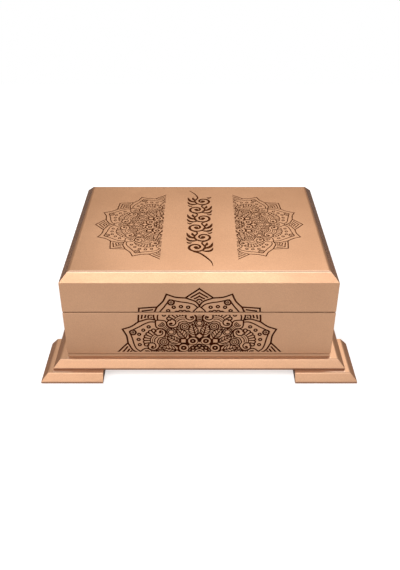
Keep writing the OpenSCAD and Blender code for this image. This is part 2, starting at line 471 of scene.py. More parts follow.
def mark_painted_light(piece, upper):
    """Splits a piece round the node that stands on it, and marks a painted highlight on the shelf before it
    and painted shade on the upright edges
    """
    low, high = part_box(upper)
    for place, way in ((low, (0, 1, 0)), (low, (1, 0, 0)), (high, (1, 0, 0))):
        edit_all(piece)
        bpy.ops.mesh.bisect(plane_co=place, plane_no=way, threshold=SAW_NEAR)
        bpy.ops.object.mode_set(mode="OBJECT")

    # painted highlight: full on the shelf before the board above, a quarter on the roundings in front
    def rubbed(face):
        if face.center.y > low.y or face.normal.z < ROUNDED_LEAN:
            return 0
        if face.normal.z < FLAT_LEAN:
            return ARRIS_HIGHLIGHT
        return low.x < face.center.x < high.x

    # painted shade: on every upright face
    def soaked(face):
        return abs(face.normal.z) < UPRIGHT_LEAN

    print(piece.name, "rubbed faces:", mark_faces(piece, "rubbed", rubbed))
    print(piece.name, "soaked faces:", mark_faces(piece, "soaked", soaked))


# %% [markdown]
# ## The corner feet
# Each foot is a square block under a corner of the plinth, bevelled on its two outer sides and cut square
# on the inner ones. By hand it is a cube scaled to size whose two outer top edges are bevelled. The blunt
# arris above each bevel is rounded over, and the remaining sharp edges are rounded a little, as sanding
# and paint leave them. Mirrored copies of one foot would do as well, but one function that asks which
# sides face outwards also follows a foot that is moved in the construction model.

# %% Model the feet
FOOT_BEVEL = 7.5 * MM
BLUNT_ROUND = 1.2 * MM
BLUNT_STEPS = 4


def corner_foot(node):
    """Models one foot, bevelled on the two sides that face away from the middle"""
    low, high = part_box(node)
    outer_x = low.x if low.x + high.x < 0 else high.x
    outer_y = low.y if low.y + high.y < 0 else high.y
    foot = add_block("painted_" + node, low, high)

    def outer_top(a, b, angle):
        on_top = both_at(a, b, 2, high.z)
        return on_top and (both_at(a, b, 0, outer_x) or both_at(a, b, 1, outer_y))

    bevel_edges(foot, outer_top, FOOT_BEVEL)
    round_over(foot, high.z, BLUNT_ROUND, BLUNT_STEPS)
    soften(foot)
    mark_painted_light(foot, "plinth_board")
    return foot


for node in ("foot_front_left", "foot_front_right", "foot_back_left", "foot_back_right"):
    hand_over(corner_foot(node), "box", gold, node)

# %% [markdown]
# ## Plinth and floor panel
# The plinth is one board, bevelled all round. The floor panel lies on it under the walls. Its edge leans
# back a little and is stepped in at the top, so it shows as a pale strip under a dark joint line. Both
# are blocks again: the plinth has its four top edges bevelled, and the panel has its top face scaled in,
# inset and extruded for the step. Then the arrises of both are sanded.

# %% Model the plinth and the floor panel
PLINTH_BEVEL = 7.5 * MM
PANEL_LEAN = 0.9 * MM
JOINT_HEIGHT = 1.4 * MM
JOINT_DEPTH = 1.5 * MM
LEVEL = 0.9

low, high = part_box("plinth_board")
plinth = add_block("painted_plinth_board", low, high)
bevel_edges(plinth, lambda a, b, angle: both_at(a, b, 2, high.z), PLINTH_BEVEL)
round_over(plinth, high.z, BLUNT_ROUND, BLUNT_STEPS)
soften(plinth)
mark_painted_light(plinth, "box_front_wall")
hand_over(plinth, "box", gold, "plinth_board")

low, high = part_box("floor_panel")
panel = add_block("painted_floor_panel", low, (high.x, high.y, high.z - JOINT_HEIGHT))
mesh = edit(panel, "FACE")
for face in mesh.faces:
    face.select_set(face.normal.z > LEVEL)
bmesh.update_edit_mesh(panel.data)
size = high - low
bpy.ops.transform.resize(value=(1 - 2 * PANEL_LEAN / size.x, 1 - 2 * PANEL_LEAN / size.y, 1),
                         center_override=(low + high) / 2)
bpy.ops.mesh.inset(thickness=JOINT_DEPTH)
bpy.ops.mesh.extrude_region_move(TRANSFORM_OT_translate={"value": (0, 0, JOINT_HEIGHT)})
bpy.ops.object.mode_set(mode="OBJECT")
soften(panel)
hand_over(panel, "box", gold, "floor_panel")

# %% [markdown]
# ## The walls
# Four boards meet in mitres at the corners of the box, and their outer top arris is rounded over, which
# leaves a pale strip under the seam of the lid. Four separate blocks would each need two slanting ends.
# It is simpler to make the whole frame first, from a block whose top and bottom are inset and bridged,
# round what runs round the frame once, and then saw a copy of the frame at the mitres for each board.

# %% Helpers that make a frame
CORNER = 0.6 * MM
CORNER_STEPS = 4
RIM_EASE = 1.6 * MM
RIM_STEPS = 4


def span(nodes):
    """Lowest and highest corner of a group of nodes"""
    lows, highs = zip(*(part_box(node) for node in nodes))
    low = Vector([min(corner[i] for corner in lows) for i in range(3)])
    high = Vector([max(corner[i] for corner in highs) for i in range(3)])
    return low, high


def board_frame(name, low, high, thickness):
    """Insets and bridges a block, so that a ring of boards is left"""
    ring = add_block(name, low, high)
    mesh = edit(ring, "FACE")
    for face in mesh.faces:
        face.select_set(abs(face.normal.z) > LEVEL)
    bmesh.update_edit_mesh(ring.data)
    bpy.ops.mesh.inset(thickness=thickness)
    bpy.ops.mesh.bridge_edge_loops()
    bpy.ops.object.mode_set(mode="OBJECT")
    return ring


def outside(point, low, high):
    """True for a point of a frame's outer faces, rounded corners included"""
    reach = CORNER + NEAR
    near_x = min(point.x - low.x, high.x - point.x) < reach
    near_y = min(point.y - low.y, high.y - point.y) < reach
    return near_x or near_y


def round_corners(ring, low, high):
    """Rounds the outer corners of a frame, hips included, in an even number of steps"""

    def corner_edge(a, b, angle):
        reach = 2 * RIM_EASE
        upright = abs(a.x - b.x) < reach and abs(a.z - b.z) > NEAR
        at_corner = min(a.x - low.x, high.x - a.x) < reach and min(a.y - low.y, high.y - a.y) < reach
        across = abs(abs(a.x - b.x) - abs(a.y - b.y)) < NEAR
        return upright and at_corner and across

    return bevel_edges(ring, corner_edge, CORNER, CORNER_STEPS)


# %% [markdown]
# ### Sawing the boards
# Bisect cuts a mesh along a plane, and with its two options it drops one side and closes the cut, so two
# bisects along the mitres leave one board of a frame. Sawing copies keeps every board in its place.

# %% Helpers that saw a frame


def copy_of(piece, name):
    """Copies an object with a mesh of its own"""
    other = piece.copy()
    other.data = piece.data.copy()
    other.name = name
    other.data.name = name
    bpy.context.collection.objects.link(other)
    return other


def saw_boards(ring, low, high, nodes):
    """Saws a copy of the frame at its mitres for each of its front, back, left and right boards"""
    corners = [Vector((low.x, low.y, 0)), Vector((high.x, low.y, 0)), Vector((high.x, high.y, 0)),
               Vector((low.x, high.y, 0))]
    turns = {"front": 0, "right": 1, "back": 2, "left": 3}
    boards = []
    for node in nodes:
        turn = next(turns[side] for side in turns if "_" + side + "_" in node)
        start, end = corners[turn], corners[(turn + 1) % len(corners)]
        along = (end - start).normalized()
        inward = Vector((-along.y, along.x, 0))
        board = copy_of(ring, "painted_" + node)
        for corner, way in ((start, along), (end, -along)):
            edit_all(board)
            bpy.ops.mesh.bisect(plane_co=corner, plane_no=way - inward, use_fill=True, clear_inner=True,
                                threshold=SAW_NEAR)
        bpy.ops.object.mode_set(mode="OBJECT")
        boards.append(board)
    bpy.data.objects.remove(ring)
    return boards


# %% [markdown]
# ### Easing the frame and sawing it
# The rim is eased and the corners are rounded while the frame is whole, so both run on without a break
# where two boards meet, as they do when a joiner sands the glued box. Only then is the frame sawn.

# %% Model the walls
wall_nodes = ("box_front_wall", "box_back_wall", "box_left_wall", "box_right_wall")
low, high = span(wall_nodes)
front_low, front_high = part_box("box_front_wall")
BOARD = front_high.y - front_low.y
ring = board_frame("wall_frame", low, high, BOARD)


def outer_rim(a, b, angle):
    """True for the edges round the outer top of the walls"""
    return both_at(a, b, 2, high.z) and outside(a, low, high) and outside(b, low, high)


print("eased rim edges:", bevel_edges(ring, outer_rim, RIM_EASE, RIM_STEPS))
print("rounded corner edges:", round_corners(ring, low, high))
WALL_RIM = (high.z - NEAR, high.z + NEAR)
front_wall, back_wall, left_wall, right_wall = saw_boards(ring, low, high, wall_nodes)
for board in (front_wall, back_wall, left_wall, right_wall):
    print(board.name, "sawn,", triangles(board), "triangles")

# %% [markdown]
# ## The rails of the lid
# The lid's rails are mitred in the same way. A narrow rebate runs round their lower outer edge, so that
# the seam reads as one dark line above the rounded rim of the walls, and their upper edge is glued to the
# top, so it stays sharp. A rebate is easiest taken away from the sawn boards with a Boolean modifier,
# which is then applied. The volume before and after tells whether the cut was made, and if the fast
# solver fails, the exact one tries.

# %% Helpers that cut one piece with another
SMALLEST_CUT = 1e-9


def volume_of(piece):
    """Measures the volume of a closed piece, in cubic metres"""
    mesh = bmesh.new()
    mesh.from_mesh(piece.data)
    volume = mesh.calc_volume()
    mesh.free()
    return volume


def cut_with(board, cutter, operation="DIFFERENCE"):
    """Takes a cutter away from a board, or keeps what they share, and makes sure that some volume went"""
    take(board)
    volume_before = volume_of(board)
    for solver in ("MANIFOLD", "EXACT"):
        cut = board.modifiers.new("cut", "BOOLEAN")
        cut.operation = operation
        cut.solver = solver
        cut.object = cutter
        bpy.ops.object.modifier_apply(modifier=cut.name)
        if 0 < volume_of(board) < volume_before - SMALLEST_CUT:
            return
        print(board.name, "was not cut by the solver", solver)
    raise RuntimeError(board.name + " was not cut")


# %% [markdown]
# ### Sawing and rebating the rails
# The frame of the rails is made and sawn as the walls were, and one thin frame serves as the cutter of
# the rebate for all four. It stands out past the rails on every open side, because two faces that lie in
# one plane are what a Boolean solves worst.

# %% Model the rails
REBATE_HEIGHT = 1.0 * MM
REBATE_DEPTH = 3 * MM
OVERCUT = 1 * MM

rail_nodes = ("lid_front_rail", "lid_back_rail", "lid_left_rail", "lid_right_rail")
low, high = span(rail_nodes)
ring = board_frame("rail_frame", low, high, BOARD)
print("rounded corner edges:", round_corners(ring, low, high))
past = Vector((OVERCUT, OVERCUT, OVERCUT))
rebate_top = Vector((high.x, high.y, low.z + REBATE_HEIGHT - OVERCUT)) + past
rebate = board_frame("rebate_cutter", low - past, rebate_top, OVERCUT + REBATE_DEPTH)
RAIL_RIM = (low.z - NEAR, low.z + REBATE_HEIGHT + NEAR)
front_rail, back_rail, left_rail, right_rail = saw_boards(ring, low, high, rail_nodes)
for board in (front_rail, back_rail, left_rail, right_rail):
    cut_with(board, rebate)
    print(board.name, "sawn and rebated,", triangles(board), "triangles")
bpy.data.objects.remove(rebate)

# %% [markdown]
# ## Mortises for the hinges
# The leaves of the hinges lie flush in the rims of the back wall and the back rail. A joiner chops a
# shallow recess for each leaf. Here a block of the leaf's size is taken away from the board in the same
# way as the rebate. The rims that meet at the seam get painted shade, which darkens the seam line, and
# they are marked once the cutting is done.

# %% Cut the mortises
MORTISE_CLEAR = 0.1 * MM
LEAF_THICK = 1.5 * MM


def mortise(board, leaf):
    """Sinks the plate of a hinge leaf into the rim that it lies on"""
    leaf_low, leaf_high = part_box(leaf)
    board_low = Vector([min(v.co[i] for v in board.data.vertices) for i in range(3)])
    board_high = Vector([max(v.co[i] for v in board.data.vertices) for i in range(3)])
    block_low = Vector((leaf_low.x - MORTISE_CLEAR, leaf_low.y - MORTISE_CLEAR, 0))
    block_high = Vector((leaf_high.x + MORTISE_CLEAR, board_high.y + OVERCUT, 0))
    if leaf_low.z < board_low.z:
        block_low.z = board_low.z - OVERCUT
        block_high.z = board_low.z + LEAF_THICK
    else:
        block_low.z = board_high.z - LEAF_THICK
        block_high.z = board_high.z + OVERCUT
    block = add_block("mortise_block", block_low, block_high)
    cut_with(board, block)
    bpy.data.objects.remove(block)


def paint_shade_on_rim(board, heights):
    """Marks the faces of a board between two heights with painted shade"""

    def at_rim(face):
        return heights[0] < face.center.z < heights[1]

    print(board.name, "soaked faces:", mark_faces(board, "soaked", at_rim))


for side in ("left", "right"):
    mortise(back_wall, f"hinge_{side}_box_leaf")
    mortise(back_rail, f"hinge_{side}_lid_leaf")
# the rims at the seam get painted shade, which darkens the seam line
for board, node in zip((back_wall, left_wall, right_wall), wall_nodes[1:]):
    paint_shade_on_rim(board, WALL_RIM)
    hand_over(board, "box", gold, node)
for board, node in zip((back_rail, left_rail, right_rail), rail_nodes[1:]):
    paint_shade_on_rim(board, RAIL_RIM)
    hand_over(board, "lid", gold, node)

# %% [markdown]
# ## The top of the lid
# The top is one board with a wide bevel that takes nearly its whole thickness, so the bevel seems to grow
# straight out of the rails. The four upper edges of a block are bevelled. The arris between the bevel and
# the top is rounded off wide, and it is what catches the bright line along the front of the lid. Then
# every sharp edge but the glued lower ones is sanded.

# %% Model the top board
TOP_BEVEL = 9.6 * MM
TOP_ROUND = 2.0 * MM
TOP_ROUND_STEPS = 6
GLUED_EDGE = 0.4 * MM

low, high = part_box("lid_top_panel")
top_face = high.z
top_board = add_block("painted_lid_top_panel", low, high)
bevel_edges(top_board, lambda a, b, angle: both_at(a, b, 2, high.z), TOP_BEVEL)
round_over(top_board, high.z, TOP_ROUND, TOP_ROUND_STEPS)
soften(top_board, lambda a, b: min(a.z, b.z) < low.z + GLUED_EDGE - NEAR)
print(top_board.name, triangles(top_board), "triangles before carving")

# %% [markdown]
# ## Drawing the mandala
# The ornament is a traditional mandala of eight petals round a ring of small flowers. Everything in it
# repeats eight times and is the same left and right of each petal's middle, so only half of one petal is
# drawn, and the rest is mirrored and turned. Lengths are shares of the mandala's radius. The petal's
# middle lies along X, and the spoke between two petals is 22.5 degrees away.
# Curve objects would do for the drawing, but hundreds of lines that cross have to become one groove
# without overlaps, so each line is laid down as a flat ribbon of corners, and the ribbons are fused
# later.

# %% Helpers for drawing lines
PETALS = 8
HALF_PETAL = math.pi / PETALS
FULL_TURN = 360
BOLD = 0.0180
FIRM = 0.0155
FINE = 0.0125


def polar(radius, degrees, centre=(0.0, 0.0)):
    """The point at a radius and an angle round a centre"""
    angle = math.radians(degrees)
    return (centre[0] + radius * math.cos(angle), centre[1] + radius * math.sin(angle))


def on_spoke(out, side):
    """A point by its distance out along the spoke between two petals, and its distance to one side of it"""
    c, s = math.cos(HALF_PETAL), math.sin(HALF_PETAL)
    return (out * c + side * s, out * s - side * c)


def curve(points, steps=6):
    """A smooth line through the points"""
    first = [2 * a - b for a, b in zip(points[0], points[1])]
    last = [2 * a - b for a, b in zip(points[-1], points[-2])]
    path = [Vector(p) for p in [first, *points, last]]
    line = []
    for p0, p1, p2, p3 in zip(path, path[1:], path[2:], path[3:]):
        for step in range(steps):
            t = step / steps
            bend = 2 * p0 - 5 * p1 + 4 * p2 - p3
            twist = 3 * p1 - p0 - 3 * p2 + p3
            line.append(tuple((2 * p1 + (p2 - p0) * t + bend * t * t + twist * t ** 3) / 2))
    return line + [points[-1]]


def arc(centre, radius, start, end, steps):
    """A round line from one angle to another"""
    return [polar(radius, start + (end - start) * i / steps, centre) for i in range(steps + 1)]


def ribbon(points, width, end_width=None, swell=0.0):
    """One stroke along a line, as wide as asked at its two ends and, with a swell, wider in the middle"""
    return [(points, width, width if end_width is None else end_width, swell)]


def dot(centre, radius, steps=14):
    """A filled round spot"""
    return [([polar(radius, FULL_TURN * i / steps, centre) for i in range(steps)],)]


def ring_line(centre, radius, width, steps=24):
    """A round ring"""
    return ribbon(arc(centre, radius, 0, FULL_TURN, steps), width)


# %% [markdown]
# ### The petal, its button and its beads
# Each petal is a pointed arch drawn twice, with a rosette like a button in its tip and a row of beads
# below.

# %% Draw the petal
PETAL_OUTER = [(1.062, -0.058), (1.004, 0.0), (0.933, 0.068), (0.902, 0.115), (0.867, 0.183), (0.838, 0.213),
               (0.808, 0.243), (0.782, 0.265), (0.756, 0.278), (0.727, 0.285), (0.694, 0.2875)]
PETAL_INNER = [(0.950, -0.040), (0.914, 0.0), (0.867, 0.063), (0.833, 0.110), (0.800, 0.163), (0.767, 0.207),
               (0.742, 0.232), (0.716, 0.246), (0.693, 0.253), (0.672, 0.264)]
BUTTON = (0.870, 0.0)
BUTTON_RINGS = ((0.0365, 0.0185), (0.0120, 0.0105))
BEADS = [(0.790, 0), (0.771, 6.1), (0.742, 12.2)]
BEAD_RING = (0.0178, 0.0160)

shapes = ribbon(curve(PETAL_OUTER), BOLD) + ribbon(curve(PETAL_INNER), FIRM)
for ring in BUTTON_RINGS:
    shapes += ring_line(BUTTON, *ring)
for radius, degrees in BEADS:
    shapes += ring_line(polar(radius, degrees), *BEAD_RING)
print("ribbons after the petal:", len(shapes))

# %% [markdown]
# ### The fan
# Inside the petal is a fan of seven rounded teeth, over a band of three lines. The teeth sit round one
# centre, so an angle steps through them.

# %% Draw the fan
FAN_CENTRE = (0.512, 0.0)
FAN_REACH = 0.188
HALF_TOOTH = 7.0
TEETH = 4
FAN_SPREAD = 49.5
GAP_ROOT = 0.122
GAP_ROOT_RISE = 0.03
GAP_PAST = 0.004
GAP_WIDTHS = (0.0130, 0.0175)
CAP_HALF = 95
CAP_STEPS = 10
BAND_LINES = ((0.125, 44, 0.0110), (0.0985, 40, 0.0070), (0.0735, 44, 0.0120))
BAND_START = -8
BAND_STEPS = 12

cap = FAN_REACH * math.tan(math.radians(HALF_TOOTH))
for tooth in range(TEETH):
    gap = HALF_TOOTH * (2 * tooth + 1)
    root = GAP_ROOT + GAP_ROOT_RISE * (gap / FAN_SPREAD) ** 2
    ends = [polar(root, gap, FAN_CENTRE), polar(FAN_REACH + GAP_PAST, gap, FAN_CENTRE)]
    shapes += ribbon(ends, *GAP_WIDTHS)
    middle = 2 * HALF_TOOTH * tooth
    tip = polar(FAN_REACH, middle, FAN_CENTRE)
    shapes += ribbon(arc(tip, cap, middle - CAP_HALF, middle + CAP_HALF, CAP_STEPS), FIRM)
for radius, end, width in BAND_LINES:
    shapes += ribbon(arc(FAN_CENTRE, radius, BAND_START, end, BAND_STEPS), width)
print("ribbons after the fan:", len(shapes))

# %% [markdown]
# ### The volute
# A band swings out of the petal's middle and rolls up in a spiral with a round heart. Its rim is a curve
# through points, and the groove that makes the spiral is given by angles and shrinking radii round the
# heart.

# %% Draw the volute
VOLUTE = (0.567, 0.131)
VOLUTE_HEART = 0.0185
VOLUTE_STEPS = 4
VOLUTE_RIM = [(0.5455, -0.012), (0.5455, 0.012), (0.543, 0.034), (0.530, 0.048), (0.511, 0.058),
              (0.497, 0.082), (0.494, 0.107), (0.499, 0.136), (0.513, 0.164), (0.539, 0.184),
              (0.567, 0.1885), (0.596, 0.178), (0.618, 0.152), (0.628, 0.125), (0.627, 0.100), (0.621, 0.079)]
CURL = [(-44, 0.0747), (-79, 0.0643), (-100, 0.0563), (-126, 0.0478), (-155, 0.0390), (-190, 0.0320),
        (-230, 0.0285), (-270, 0.0250), (-315, 0.0220)]

shapes += ribbon(curve(VOLUTE_RIM, VOLUTE_STEPS), FINE, FIRM)
groove = [polar(radius, degrees, VOLUTE) for degrees, radius in CURL]
shapes += ribbon(curve(groove, VOLUTE_STEPS), FIRM, FINE)
shapes += dot(VOLUTE, VOLUTE_HEART)
print("ribbons after the volute:", len(shapes))

# %% [markdown]
# ### The rose and its leaf
# Under the fan a small rose of two rings and a dot lies between two broad veined leaves. A leaf is two
# bulging sides and a midrib with veins, placed by its tip and its root. The ground between the leaves and
# beside the rose is burnt dark all over, so a few spots fill it.

# %% Draw the rose and the leaf
ROSE = (0.462, 0.0)
ROSE_RINGS = ((0.056, FIRM), (0.031, FINE))
ROSE_DOT = 0.0135
ROSE_GROUND = ((0.482, 0.078), 0.012)
ROSE_BEAD = ((0.476, 0.117), 0.017, 0.011)
LEAF_TIP, LEAF_ROOT = Vector((0.285, 0.066)), Vector((0.464, 0.099))
LEAF_OUTLINE = [(0.0, 0.0), (0.16, 0.62), (0.40, 1.0), (0.66, 0.80), (0.88, 0.36), (1.0, 0.0)]
LEAF_BULGE = {1: 0.050, -1: 0.064}
VEINS = (-0.02, 0.19, 0.40, 0.61)
VEIN_REACH = (0.22, 0.88)
VEIN_WIDTH = 0.0095
MIDRIB_ENDS = (0.02, 0.98)
LEAF_GROUND = ([(0.280, 0.0), (0.345, 0.0)], 0.042, 0.008)
LEAF_GAP = ([(0.345, 0.0), (0.385, 0.0)], 0.006)

for ring in ROSE_RINGS:
    shapes += ring_line(ROSE, *ring)
shapes += dot(ROSE, ROSE_DOT) + dot(*ROSE_GROUND) + ring_line(*ROSE_BEAD)
shapes += ribbon(*LEAF_GROUND) + ribbon(*LEAF_GAP)
midrib = LEAF_ROOT - LEAF_TIP
leaf_side = Vector((-midrib.y, midrib.x)).normalized()


def on_leaf(share, side):
    """A point by its share of the midrib and of the leaf's half width, which differs on the two sides"""
    return tuple(LEAF_TIP + midrib * share + leaf_side * side * LEAF_BULGE[1 if side >= 0 else -1])


for side in (1, -1):
    shapes += ribbon(curve([on_leaf(share, side * bulge) for share, bulge in LEAF_OUTLINE]), FINE)
    for vein in VEINS:
        vein_end = on_leaf(vein + VEIN_REACH[0], VEIN_REACH[1] * side)
        shapes += ribbon([on_leaf(vein, 0), vein_end], VEIN_WIDTH)
shapes += ribbon([on_leaf(end, 0) for end in MIDRIB_ENDS], FIRM, FINE)
print("ribbons after the leaf:", len(shapes))

# %% [markdown]
# ### What lies on the spoke
# Between two petals there are, from outside in, a stack of chevrons, a kite with an eye, an oval and a
# diamond. The helper on_spoke places all of them by their distance out and to the side.

# %% Draw the spoke
CHEVRONS = [
    [(1.046, -0.026), (1.010, 0.0), (0.993, 0.020), (0.973, 0.044), (0.924, 0.104), (0.872, 0.163)],
    [(0.985, -0.030), (0.951, 0.0), (0.933, 0.024), (0.915, 0.048), (0.876, 0.104)],
    [(0.930, -0.030), (0.899, 0.0), (0.886, 0.016), (0.871, 0.038), (0.858, 0.065)],
    [(0.851, -0.012), (0.852, 0.008), (0.843, 0.022), (0.826, 0.033)],
]
CHEVRON_DOT = (0.812, 0.012)
KITE_RIM = [(0.745, -0.004), (0.723, 0.023), (0.691, 0.053), (0.668, 0.068), (0.645, 0.072), (0.612, 0.058),
            (0.580, 0.042), (0.540, 0.036), (0.505, 0.034)]
KITE_EYE = 0.648
KITE_EYE_RING = (0.0155, 0.0120)
BROW_RADIUS = 0.035
BROW_ANGLES = range(50, 191, 10)
BROW_WIDTH = 0.0120
KITE_RIBS = (0.546, 0.567, 0.588)
RIB_SIDES = (-0.010, 0.034)
RIB_RISE = 0.006
RIB_WIDTH = 0.0095
OVAL_OUT = 0.480
OVALS = ((0.055, 0.054), (0.034, 0.033))
OVAL_STEPS = 28
DIAMOND = [(0.331, -0.006), (0.275, 0.050), (0.219, -0.006)]
DIAMOND_DOT = (0.340, 0.008)


def oval_on_spoke(out, along, across, turns):
    """Points of an oval round a place on the spoke"""
    return [on_spoke(out + along * math.cos(turn), across * math.sin(turn)) for turn in turns]


for corners in CHEVRONS:
    shapes += ribbon([on_spoke(*corner) for corner in corners], BOLD)
shapes += dot(on_spoke(CHEVRON_DOT[0], 0.0), CHEVRON_DOT[1])
shapes += ribbon(curve([on_spoke(*corner) for corner in KITE_RIM]), FIRM)
shapes += ring_line(on_spoke(KITE_EYE, 0.0), *KITE_EYE_RING)
turns = [math.radians(angle) for angle in BROW_ANGLES]
shapes += ribbon(oval_on_spoke(KITE_EYE, BROW_RADIUS, BROW_RADIUS, turns), BROW_WIDTH)
for out in KITE_RIBS:
    shapes += ribbon([on_spoke(out, RIB_SIDES[0]), on_spoke(out + RIB_RISE, RIB_SIDES[1])], RIB_WIDTH)
turns = [2 * math.pi * i / OVAL_STEPS for i in range(OVAL_STEPS + 1)]
for along, across in OVALS:
    shapes += ribbon(oval_on_spoke(OVAL_OUT, along, across, turns), FINE)
for line in (DIAMOND[:2], DIAMOND[1:]):
    shapes += ribbon([on_spoke(*corner) for corner in line], FIRM)
shapes += dot(on_spoke(DIAMOND_DOT[0], 0.0), DIAMOND_DOT[1])
print("ribbons after the spoke:", len(shapes))

# %% [markdown]
# ### The heart of the mandala
# Eight eyes stand round the middle under small arches, with beads and rings nearer the middle.

# %% Draw the heart
EYE = (0.2085, 0.0)
EYE_RINGS = ((0.0240, 0.0230), (0.0620, 0.0085))
ARCH = [(0.272, -0.016), (0.272, 0.014), (0.250, 0.056), (0.208, 0.076), (0.160, 0.0663)]
HEART_BEAD_OUT = 0.114
HEART_BEAD_RING = (0.0245, 0.0220)
HEART_DOT = ((0.112, 0.0), 0.015)
CENTRE_RINGS = ((0.139, 0.0110), (0.066, BOLD), (0.033, FIRM))
CENTRE_STEPS = 32

for ring in EYE_RINGS:
    shapes += ring_line(EYE, *ring)
shapes += ribbon(curve(ARCH), BOLD)
shapes += ring_line(on_spoke(HEART_BEAD_OUT, 0.0), *HEART_BEAD_RING) + dot(*HEART_DOT)
for radius, width in CENTRE_RINGS:
    shapes += ring_line((0.0, 0.0), radius, width, CENTRE_STEPS)
print("ribbons in half a petal:", len(shapes))

# %% [markdown]
# ## From ribbons to one sheet
# Half a petal is a heap of ribbons that cross and overlap, and a cutter has to be one clean body.
# Booleans could join the ribbons one by one, but they need closed bodies, and there are dozens of
# ribbons. It is quicker to fuse them while they are flat. First each stroke is laid out as four-cornered
# pieces, and these are split into triangles.

# %% Helpers that lay strokes flat
SMALLEST_AREA = 1e-9


def lay_flat(stroke, weight):
    """Turns a stroke into flat corners of four, or a spot into its outline"""
    if len(stroke) == 1:
        return [stroke[0]]
    points, width, end_width, swell = stroke
    last = len(points) - 1
    edges = []
    for i, point in enumerate(points):
        along = (Vector(points[min(i + 1, last)]) - Vector(points[max(i - 1, 0)])).normalized()
        share = i / last
        half = weight * (width + (end_width - width) * share + swell * math.sin(math.pi * share)) / 2
        across = Vector((-along.y, along.x)) * half
        edges.append((Vector(point) + across, Vector(point) - across))
    return [[a[0], a[1], b[1], b[0]] for a, b in zip(edges, edges[1:])]


def split_strokes(strokes, weight, unit):
    """Splits strokes into triangles whose corners run anticlockwise"""
    drawn = []
    for shape in [flat for stroke in strokes for flat in lay_flat(stroke, weight)]:
        for second, third in zip(shape[1:], shape[2:]):
            corners = [Vector(corner) / unit for corner in (shape[0], second, third)]
            area = (corners[1] - corners[0]).cross(corners[2] - corners[0])
            if abs(area) < SMALLEST_AREA:
                continue
            if area < 0:
                corners.reverse()
            drawn.append(corners)
    return drawn


# %% [markdown]
# ### Fusing the triangles
# A triangulation cuts the overlapping triangles into cells and says for each cell which triangles it came
# from. A cell whose middle lies inside one of them belongs to the drawing, and only cells inside the half
# petal are kept, so the sheet has no overlaps. Flat neighbours are then dissolved, so there are fewer
# faces to cut.

# %% Helpers that fuse strokes into a sheet
WELD = 1e-6
FAR = 1.3
NEARLY_STRAIGHT = math.radians(0.3)


def inside(point, corners):
    """True if a point lies inside a triangle whose corners run anticlockwise"""
    return all((b - a).cross(point - a) > 0 for a, b in zip(corners, corners[1:] + corners[:1]))


def covered_part(drawn, wedge):
    """Cuts triangles that overlap into cells, and keeps those that lie in one of them and in the wedge"""
    points = [corner for corners in drawn for corner in corners]
    corners_of = [[i, i + 1, i + 2] for i in range(0, len(points), 3)]
    rays = []
    if wedge:
        middle = len(points)
        rays = [(middle, middle + 1), (middle, middle + 2)]
        points += [Vector((0, 0)), Vector((FAR, 0)), Vector((FAR * math.cos(wedge), FAR * math.sin(wedge)))]
    spots, _, cells, _, _, covered_by = delaunay_2d_cdt(points, rays, corners_of, 0, WELD)
    kept = []
    for cell, covers in zip(cells, covered_by):
        centre = sum((spots[i] for i in cell), Vector((0, 0))) / len(cell)
        in_wedge = not wedge or 0 < math.atan2(centre.y, centre.x) < wedge
        if in_wedge and any(inside(centre, drawn[k]) for k in covers):
            kept.append(cell)
    return spots, kept


def fuse(name, strokes, weight=1.0, unit=1.0, wedge=None):
    """Makes one flat sheet of all that the strokes cover, inside a wedge from the X axis if one is given"""
    spots, kept = covered_part(split_strokes(strokes, weight, unit), wedge)
    mesh = bpy.data.meshes.new(name)
    mesh.from_pydata([(spot.x, spot.y, 0) for spot in spots], [], kept)
    sheet = bpy.data.objects.new(name, mesh)
    bpy.context.collection.objects.link(sheet)
    edit_all(sheet)
    bpy.ops.mesh.delete_loose()
    bpy.ops.mesh.select_all(action="SELECT")
    bpy.ops.mesh.dissolve_limited(angle_limit=NEARLY_STRAIGHT, use_dissolve_boundaries=False)
    bpy.ops.mesh.quads_convert_to_tris()
    bpy.ops.object.mode_set(mode="OBJECT")
    return sheet


# %% [markdown]
# ### From half a petal to half a mandala
# A Mirror modifier makes the petal whole. Spin with copies then sets four petals in half a circle, as the
# Spin tool does by hand, and the doubles along their shared edges are merged.

# %% Helpers that build half a mandala
MERGE = WELD * 10
COPIES = PETALS // 2 - 1


def place_piece(piece, size=(1, 1, 1), turn=(0, 0, 0), place=(0, 0, 0)):
    """Sizes, turns and moves a piece, and puts all of it into the mesh"""
    take(piece)
    piece.scale = size
    bpy.ops.object.transform_apply(location=False, rotation=False, scale=True)
    piece.rotation_euler = turn
    piece.location = place
    bpy.ops.object.transform_apply(location=True, rotation=True, scale=True)


def half_mandala(name, weight):
    """Builds half a mandala as a flat sheet of radius 1, with lines of some weight"""
    sheet = fuse(name, shapes, weight, wedge=HALF_PETAL)
    take(sheet)
    mirror = sheet.modifiers.new("other half of the petal", "MIRROR")
    mirror.use_axis = (False, True, False)
    mirror.merge_threshold = MERGE
    bpy.ops.object.modifier_apply(modifier=mirror.name)
    place_piece(sheet, turn=(0, 0, math.pi - HALF_PETAL))
    edit_all(sheet)
    to_last = COPIES * 2 * HALF_PETAL
    bpy.ops.mesh.spin(steps=COPIES, dupli=True, angle=to_last, center=(0, 0, 0), axis=(0, 0, 1))
    bpy.ops.mesh.select_all(action="SELECT")
    bpy.ops.mesh.remove_doubles(threshold=MERGE)
    bpy.ops.mesh.normals_make_consistent(inside=False)
    bpy.ops.object.mode_set(mode="OBJECT")
    print(name, "has", len(sheet.data.polygons), "faces")
    print("  it measures", [round(c, 4) for c in sheet.dimensions])
    return sheet


